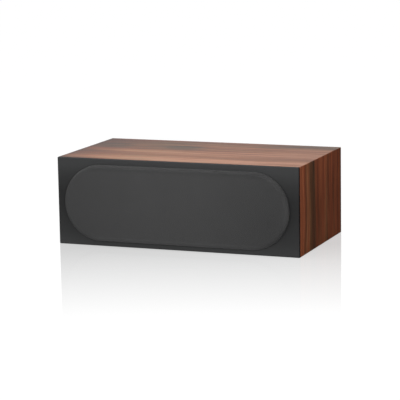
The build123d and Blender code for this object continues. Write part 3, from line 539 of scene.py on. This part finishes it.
materials["post_plating"] = turnedMetal()
materials["copper_winding"] = woundCopper()
materials["spider_cloth"] = spiderCloth()
for slot in ("post_plating", "copper_winding", "spider_cloth"):
    paint(materials[slot], *slotNodes[slot])
for side in ("left", "right"):
    paint(coneFibre(side), side + "_woofer_cone")
print("patterned finishes dressed")


# new pieces

tiny = 1e-6   # points nearer than this are one point


def newPiece(name, shape, material, smooth=True):
    mesh = bpy.data.meshes.new(name)
    shape.to_mesh(mesh)
    shape.free()
    mesh.materials.append(material)
    if smooth:
        mesh.shade_smooth()
    piece = bpy.data.objects.new(name, mesh)
    bpy.context.scene.collection.objects.link(piece)
    return piece


# grille cloth: one knitted sheet over the face of the frame and down its sides

clothLook = {
    "thickness": 0.0006, "edge": 0.0065, "roundSteps": 96, "edgeSteps": 8, "turnIn": 0.0125,
    "color": (0.075, 0.075, 0.0755), "shade": (0.048, 0.048, 0.0485), "rough": 0.9, "pitch": 0.0009,
    "patchScale": 18.0, "patchShare": 0.25, "specular": 0.25, "sheen": 0.08, "sheenRough": 0.5,
    "depth": 0.0002, "strength": 0.6,
    # painted light and shade: the cloth is darker toward its ends, most toward the right one, darker along
    # its top rim and paler along its bottom edge
    "alongPaintedLight": gray((0.0, 0.9), (0.08, 0.914), (0.21, 0.971), (0.39, 1.0), (0.65, 0.952), (0.81, 0.857),
                      (0.92, 0.776), (0.975, 0.776), (1.0, 1.0)),
    "upPaintedLight": gray((0.0, 1.28), (0.03, 1.1), (0.07, 0.905), (0.9, 1.0), (0.93, 0.95), (0.96, 0.86),
                   (1.0, 0.74)),
}


def knitMaterial():
    material, tree, skin, place = newMaterial("grille_cloth")
    weave = woven(tree, place, clothLook)
    patches = swing(tree, noise(tree, place, clothLook["patchScale"], 2.0), clothLook["patchShare"])
    # random patches with the weave's painted shade
    shade = calc(tree, "ADD", patches, weave["Shade"], clamp=True)
    color = mixColor(tree, shade, (*clothLook["shade"], 1), (*clothLook["color"], 1))
    # painted light and shade along the cloth and up it
    color = paintLightAndShade(tree, place, color, "grille_cloth", clothLook)
    tree.links.new(color, skin.inputs["Base Color"])
    skin.inputs["Roughness"].default_value = clothLook["rough"]
    skin.inputs["Specular IOR Level"].default_value = clothLook["specular"]
    skin.inputs["Sheen Weight"].default_value = clothLook["sheen"]
    skin.inputs["Sheen Roughness"].default_value = clothLook["sheenRough"]
    bumpTo(tree, skin, weave["Height"], clothLook["depth"], clothLook["strength"])
    return material


def grilleCloth():
    low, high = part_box("grille_cloth")
    middle, size = (low + high) / 2, high - low
    radius = size.z / 2
    half = size.x / 2 - radius  # middle to the centre of each round end
    shape = bmesh.new()
    bmesh.ops.create_circle(shape, cap_ends=True, segments=clothLook["roundSteps"], radius=radius)
    bmesh.ops.bisect_plane(shape, geom=shape.faces[:] + shape.edges[:] + shape.verts[:],
                           plane_co=(0, 0, 0), plane_no=(1, 0, 0), dist=tiny)
    for vert in shape.verts:  # the two halves move apart and leave a straight bar between them
        if abs(vert.co.x) > tiny:
            vert.co.x += half if vert.co.x > 0 else -half
    seam = [edge for edge in shape.edges if all(abs(vert.co.x) < tiny for vert in edge.verts)]
    bmesh.ops.dissolve_edges(shape, edges=seam, use_verts=False)
    for vert in [vert for vert in shape.verts if abs(vert.co.x) < tiny]:
        bmesh.ops.dissolve_verts(shape, verts=[vert])
    bmesh.ops.rotate(shape, verts=shape.verts, cent=(0, 0, 0), matrix=Matrix.Rotation(radians(90), 3, "X"))
    bmesh.ops.translate(shape, verts=shape.verts, vec=(middle.x, low.y, middle.z))
    face = shape.faces[:]
    bmesh.ops.recalc_face_normals(shape, faces=face)
    if face[0].normal.y > 0:
        bmesh.ops.reverse_faces(shape, faces=face)
    rim = [edge for edge in shape.edges if edge.is_boundary]
    sides = bmesh.ops.extrude_edge_only(shape, edges=rim)["geom"]
    moved = [part for part in sides if isinstance(part, bmesh.types.BMVert)]
    bmesh.ops.translate(shape, verts=moved, vec=(0, size.y, 0))
    corner = [edge for edge in shape.edges if len(edge.link_faces) == 2
              and all(abs(vert.co.y - low.y) < tiny for vert in edge.verts)]
    bmesh.ops.bevel(shape, geom=corner, offset=clothLook["edge"], affect="EDGES",
                    segments=clothLook["edgeSteps"], profile=0.5, material=-1)
    bmesh.ops.recalc_face_normals(shape, faces=shape.faces)
    bmesh.ops.solidify(shape, geom=shape.faces[:], thickness=clothLook["thickness"])
    cloth = newPiece("grilleCloth", shape, knitMaterial(), smooth=False)
    for polygon in cloth.data.polygons:
        polygon.use_smooth = len(polygon.vertices) == 4
    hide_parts("grille_cloth")
    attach(cloth, "grille")
    return cloth


grilleCloth()
print("grille cloth stretched")


# wadding: a loose fibre pad stuck under the top panel of each outer chamber

padLook = {"inset": 0.0025, "corner": 0.006, "cornerSteps": 3, "voxel": 0.005, "glueDepth": 0.002,
           "pressure": 3.0, "frames": 16, "cap": 0.003, "lumps": 0.0011, "lumpScale": 42.0}


def settledMesh(piece):
    piece.update_tag()
    graph = bpy.context.evaluated_depsgraph_get()
    return bpy.data.meshes.new_from_object(piece.evaluated_get(graph))


def waddingPad(side):
    node = side + "_wadding"
    low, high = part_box(node)
    size, middle = high - low, (low + high) / 2
    shape = bmesh.new()
    bmesh.ops.create_cube(shape, size=1.0)
    inset = padLook["inset"]
    bmesh.ops.scale(shape, verts=shape.verts, vec=size - Vector((2 * inset, 2 * inset, inset)))
    bmesh.ops.translate(shape, verts=shape.verts, vec=middle + Vector((0, 0, inset / 2)))
    lower = [edge for edge in shape.edges if any(vert.co.z < middle.z for vert in edge.verts)]
    bmesh.ops.bevel(shape, geom=lower, offset=padLook["corner"], affect="EDGES",
                    segments=padLook["cornerSteps"], profile=0.5, material=-1)
    pad = newPiece(side + "Wadding", shape, materials["wadding"])
    even = pad.modifiers.new("even", "REMESH")
    even.mode, even.voxel_size = "VOXEL", padLook["voxel"]
    pad.data = settledMesh(pad)
    pad.modifiers.clear()
    before = [vert.co.copy() for vert in pad.data.vertices]
    glue = high.z - padLook["glueDepth"]
    glued = pad.vertex_groups.new(name="glued")
    glued.add([index for index, point in enumerate(before) if point.z > glue], 1.0, "REPLACE")
    swell = pad.modifiers.new("swell", "CLOTH")
    swell.settings.use_pressure = True
    swell.settings.uniform_pressure_force = padLook["pressure"]
    swell.settings.vertex_group_mass = "glued"
    swell.settings.effector_weights.gravity = 0.0
    swell.point_cache.frame_start, swell.point_cache.frame_end = 1, padLook["frames"]
    for step in range(1, padLook["frames"] + 1):
        bpy.context.scene.frame_set(step)
    after = settledMesh(pad)
    pad.modifiers.clear()
    pad.vertex_groups.clear()
    bpy.context.scene.frame_set(1)
    for vert, point, settled in zip(pad.data.vertices, before, after.vertices):
        move = settled.co - point
        move = move * min(1.0, padLook["cap"] / max(move.length, tiny))
        move.z += padLook["lumps"] * wobble.noise(point * padLook["lumpScale"]) * (point.z < glue)
        end = point + move
        vert.co = [min(max(end[axis], low[axis]), high[axis]) for axis in range(3)]
    bpy.data.meshes.remove(after)
    pad.data.shade_smooth()
    finer = pad.modifiers.new("finer", "SUBSURF")
    finer.levels = finer.render_levels = 1
    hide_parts(node)
    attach(pad, "cabinet")


for side in ("left", "right"):
    waddingPad(side)
print("wadding swollen")


# soft rings of the drivers, between the fixed frame and the part that travels, spun from their cross
# sections

woofRing = {"roll": 0.0045, "land": 0.004, "thickness": 0.0008, "rollSteps": 14, "steps": 128}
domeRing = {"roll": 0.0013, "thickness": 0.0004, "rollSteps": 10, "steps": 96}
spiderRing = {"waves": 4, "wave": 0.0011, "land": 0.004, "inner": 0.0132, "thickness": 0.0005,
              "waveSteps": 5, "steps": 96}


def spinRing(name, profile, middle, look, slot):
    shape = bmesh.new()
    verts = [shape.verts.new((radius, depth, 0)) for radius, depth in profile]
    edges = [shape.edges.new(pair) for pair in zip(verts, verts[1:])]
    bmesh.ops.spin(shape, geom=verts + edges, cent=(0, 0, 0), axis=(0, 1, 0), angle=2 * pi,
                   steps=look["steps"], use_merge=True)
    bmesh.ops.remove_doubles(shape, verts=shape.verts, dist=tiny)
    bmesh.ops.recalc_face_normals(shape, faces=shape.faces)
    if sum(face.normal.y for face in shape.faces) > 0:
        bmesh.ops.reverse_faces(shape, faces=shape.faces)
    bmesh.ops.solidify(shape, geom=shape.faces[:], thickness=look["thickness"])
    bmesh.ops.translate(shape, verts=shape.verts, vec=(middle.x, 0, middle.z))
    return newPiece(name, shape, materials[slot])


def travelRing(piece, node, middle, inner, outer):
    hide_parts(node)
    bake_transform(piece)
    for vert in piece.data.vertices:  # a share from the outer edge to the inner one, worked out for each point and not used
        share = (outer - hypot(vert.co.x - middle.x, vert.co.z - middle.z)) / (outer - inner)
        share = min(max(share, 0.0), 1.0)


def halfCircle(x, y, radius, steps):
    bend = bmesh.new()  # a point turned half a circle
    bmesh.ops.spin(bend, geom=[bend.verts.new((x, y, 0))], cent=(x + radius, y, 0), axis=(0, 0, 1),
                   angle=pi, steps=steps)
    points = sorted((vert.co.x, vert.co.y) for vert in bend.verts)
    bend.free()
    return points


def halfRoll(inner, roll, back, steps):
    points = halfCircle(inner, back, roll, steps)
    if min(y for x, y in points) > back - roll / 2:
        points = [(x, 2 * back - y) for x, y in points]
    return points


def wooferRing(side):
    node = side + "_woofer_surround"
    low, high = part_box(node)
    middle = (low + high) / 2
    outerLand = (high.x - low.x) / 2
    outer = outerLand - woofRing["land"]
    inner = outer - 2 * woofRing["roll"]
    back = high.y - woofRing["thickness"]
    section = halfRoll(inner, woofRing["roll"], back, woofRing["rollSteps"])
    section = [(inner - woofRing["land"], back)] + section + [(outerLand, back)]
    ring = spinRing(side + "Surround", section, middle, woofRing, "surround_rubber")
    travelRing(ring, node, middle, inner, outer)


def tweeterRing():
    low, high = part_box("tweeter_surround")
    middle = (low + high) / 2
    domeLow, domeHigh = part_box("tweeter_dome")
    edge = (domeHigh.x - domeLow.x) / 2  # the dome's rim carries the roll
    outer = edge + 2 * domeRing["roll"]
    back = high.y - domeRing["thickness"]
    section = halfRoll(edge, domeRing["roll"], back, domeRing["rollSteps"])
    section = [(edge - domeRing["roll"], back)] + section + [((high.x - low.x) / 2, back)]
    ring = spinRing("tweeterSurround", section, middle, domeRing, "tweeter_roll")
    travelRing(ring, "tweeter_surround", middle, edge, outer)


def spiderDisc(side):
    node = side + "_woofer_spider"
    low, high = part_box(node)
    middle = (low + high) / 2
    outerLand = (high.x - low.x) / 2
    outer = outerLand - spiderRing["land"]
    inner = spiderRing["inner"]
    level = (low.y + high.y - spiderRing["thickness"]) / 2
    step = (outer - inner) / (2 * spiderRing["waves"])
    flatten = 2 * spiderRing["wave"] / step
    section = []
    for index in range(2 * spiderRing["waves"]):
        sign = 1 if index % 2 else -1
        arc = halfCircle(0, 0, step / 2, spiderRing["waveSteps"])
        section += [(inner + index * step + x, level + sign * flatten * abs(y)) for x, y in arc[:-1]]
    section += [(outer, level), (outerLand, level)]
    disc = spinRing(side + "Spider", section, middle, spiderRing, "spider_cloth")
    travelRing(disc, node, middle, inner, outer)


for side in ("left", "right"):
    wooferRing(side)
    spiderDisc(side)
tweeterRing()
print("soft rings of the drivers made")


# stage: pale floor with a fading mirror image, overhead soft light, dark flag behind on the right

stageLook = {
    "floorSize": 14.0, "glow": 0.958, "shadowShare": 0.12, "bounce": 0.4,
    "mirror": 0.4, "mirrorPower": 1.1,   # how strongly the floor mirrors, and how it fades
    "mirrorAxes": [((0.362, -0.932, 0.0), 0.08, 0.72),   # direction, start and end of the fade
                   ((0.932, 0.362, 0.0), 0.3, 0.94)],
    "flagEdge": (-0.05, 0.28), "flagLevel": 0.0, "floorFlagEdge": (0.18, 0.24), "floorGloss": 0.5,
    "skyEdge": (0.21, 0.29), "skyGloss": 0.45, "skyDiffuse": 0.36,
    "keyPlace": (-0.06, -0.26, 0.78), "keySize": (0.55, 0.35), "keyTarget": (0, -0.1, 0.12),
    "keyPower": 2.45,
    "fillPlace": (0.9, -2.8, 0.62), "fillSize": (2.4, 1.6), "fillTarget": (0, 0, 0.1), "fillPower": 51.0,
    "sidePlace": (2.3, -0.9, 0.8), "sideSize": (1.4, 1.2), "sideTarget": (0.2, 0, 0.1), "sidePower": 4.9,
}


def mixShader(tree, share, first, second):
    values = {0: share, 1: first.outputs[0], 2: second.outputs[0]}
    return add(tree, "ShaderNodeMixShader", values)


def mixValue(tree, share, first, second):
    return add(tree, "ShaderNodeMix", {0: share, 2: first, 3: second}, data_type="FLOAT").outputs[0]


def floorMaterial():
    material = bpy.data.materials.new("paleFloor")
    material.use_nodes = True
    tree = material.node_tree
    tree.nodes.clear()
    rays = add(tree, "ShaderNodeLightPath").outputs
    place = add(tree, "ShaderNodeTexCoord").outputs["Object"]
    glow = add(tree, "ShaderNodeEmission", {"Color": (1, 1, 1, 1), "Strength": stageLook["glow"]})
    share = stageLook["shadowShare"]
    shadow = add(tree, "ShaderNodeBsdfDiffuse", {"Color": (share, share, share, 1)})
    white = add(tree, "ShaderNodeAddShader", {0: glow.outputs[0], 1: shadow.outputs[0]})
    mirror = add(tree, "ShaderNodeBsdfGlossy", {"Color": (1, 1, 1, 1), "Roughness": 0.0})
    weight = stageLook["mirror"]
    for direction, start, end in stageLook["mirrorAxes"]:  # the mirror image fades away from the object
        away = add(tree, "ShaderNodeVectorMath", {0: place, 1: direction}, operation="DOT_PRODUCT")
        fade = spread(tree, calc(tree, "ABSOLUTE", away.outputs["Value"]), start, end, 1.0, 0.0)
        weight = calc(tree, "MULTIPLY", calc(tree, "POWER", fade, stageLook["mirrorPower"]), weight)
    seen = mixShader(tree, weight, white, mirror)
    across = axisOf(tree, place, "X")
    level = spread(tree, across, *stageLook["floorFlagEdge"],
                   stageLook["floorGloss"], stageLook["flagLevel"])
    reflected = add(tree, "ShaderNodeEmission", {"Color": (1, 1, 1, 1), "Strength": level})
    grey = stageLook["bounce"]
    bounce = add(tree, "ShaderNodeBsdfDiffuse", {"Color": (grey, grey, grey, 1)})
    glossy = calc(tree, "ADD", rays["Is Glossy Ray"], rays["Is Transmission Ray"], clamp=True)
    other = mixShader(tree, glossy, bounce, reflected)
    above = mixShader(tree, rays["Is Camera Ray"], other, seen)
    clear = add(tree, "ShaderNodeBsdfTransparent", {"Color": (1, 1, 1, 1)})
    below = add(tree, "ShaderNodeNewGeometry").outputs["Backfacing"]
    final = mixShader(tree, below, above, clear)  # the object's underside shows from below
    add(tree, "ShaderNodeOutputMaterial", {"Surface": final.outputs[0]})
    return material


def makeFloor():
    shape = bmesh.new()
    bmesh.ops.create_grid(shape, x_segments=1, y_segments=1, size=stageLook["floorSize"] / 2)
    newPiece("floor", shape, floorMaterial(), smooth=False)


def makeWorld():
    world = bpy.data.worlds.new("studio")
    bpy.context.scene.world = world
    world.use_nodes = True
    tree = world.node_tree
    tree.nodes.clear()
    rays = add(tree, "ShaderNodeLightPath").outputs
    way = add(tree, "ShaderNodeTexCoord").outputs["Generated"]
    way = add(tree, "ShaderNodeSeparateXYZ", {0: way}).outputs
    backdrop = spread(tree, way["Z"], *stageLook["skyEdge"], 1.0, stageLook["skyGloss"])  # greyer overhead
    flag = spread(tree, way["X"], *stageLook["flagEdge"], 1.0, stageLook["flagLevel"])
    glossy = calc(tree, "MULTIPLY", backdrop, flag)
    mirrored = calc(tree, "ADD", rays["Is Glossy Ray"], rays["Is Transmission Ray"], clamp=True)
    level = mixValue(tree, mirrored, stageLook["skyDiffuse"], glossy)
    white = calc(tree, "MAXIMUM", rays["Is Camera Ray"], rays["Is Singular Ray"])  # also in the mirror
    shown = mixValue(tree, white, level, 1.0)
    sky = add(tree, "ShaderNodeBackground", {"Color": (1, 1, 1, 1), "Strength": shown})
    add(tree, "ShaderNodeOutputWorld", {"Surface": sky.outputs[0]})


def makeLamp(name, place, target, size, power):
    lamp = bpy.data.lights.new(name, "AREA")
    lamp.shape = "RECTANGLE"
    lamp.size, lamp.size_y = size
    lamp.energy = power
    lamp.use_nodes = True
    tree = lamp.node_tree
    rays = add(tree, "ShaderNodeLightPath").outputs
    shine = calc(tree, "SUBTRACT", 1.0, rays["Is Singular Ray"])  # the floor's mirror shows no lamps
    tree.links.new(shine, tree.nodes["Emission"].inputs["Strength"])
    holder = bpy.data.objects.new(name, lamp)
    bpy.context.scene.collection.objects.link(holder)
    holder.location = place
    holder.rotation_euler = (Vector(target) - Vector(place)).to_track_quat("-Z", "Y").to_euler()


makeFloor()
makeWorld()
for lamp in ("key", "fill", "side"):
    makeLamp(lamp + "Softbox", *[stageLook[lamp + part] for part in ("Place", "Target", "Size", "Power")])
print("stage lit")


# camera

cameraLook = {"place": (1.2769, -3.2857, 0.6966), "yaw": 21.2723, "pitch": -10.0231, "roll": 0.9276,
              "lens": 168.282, "sensor": 36.0, "farthest": 60.0}


def makeCamera():
    data = bpy.data.cameras.new("camera")
    data.lens = cameraLook["lens"]
    data.sensor_width = cameraLook["sensor"]
    data.clip_end = cameraLook["farthest"]
    camera = bpy.data.objects.new("camera", data)
    bpy.context.scene.collection.objects.link(camera)
    turn = Matrix.Translation(cameraLook["place"])
    for angle, axis in (("yaw", "Z"), ("pitch", "X"), ("roll", "Y")):
        turn = turn @ Matrix.Rotation(radians(cameraLook[angle]), 4, axis)
    camera.matrix_world = turn @ Matrix.Rotation(radians(90), 4, "X")  # tipped up to look along +Y
    bpy.context.scene.camera = camera


makeCamera()
bpy.context.scene.view_settings.view_transform = "Standard"
print("camera set")
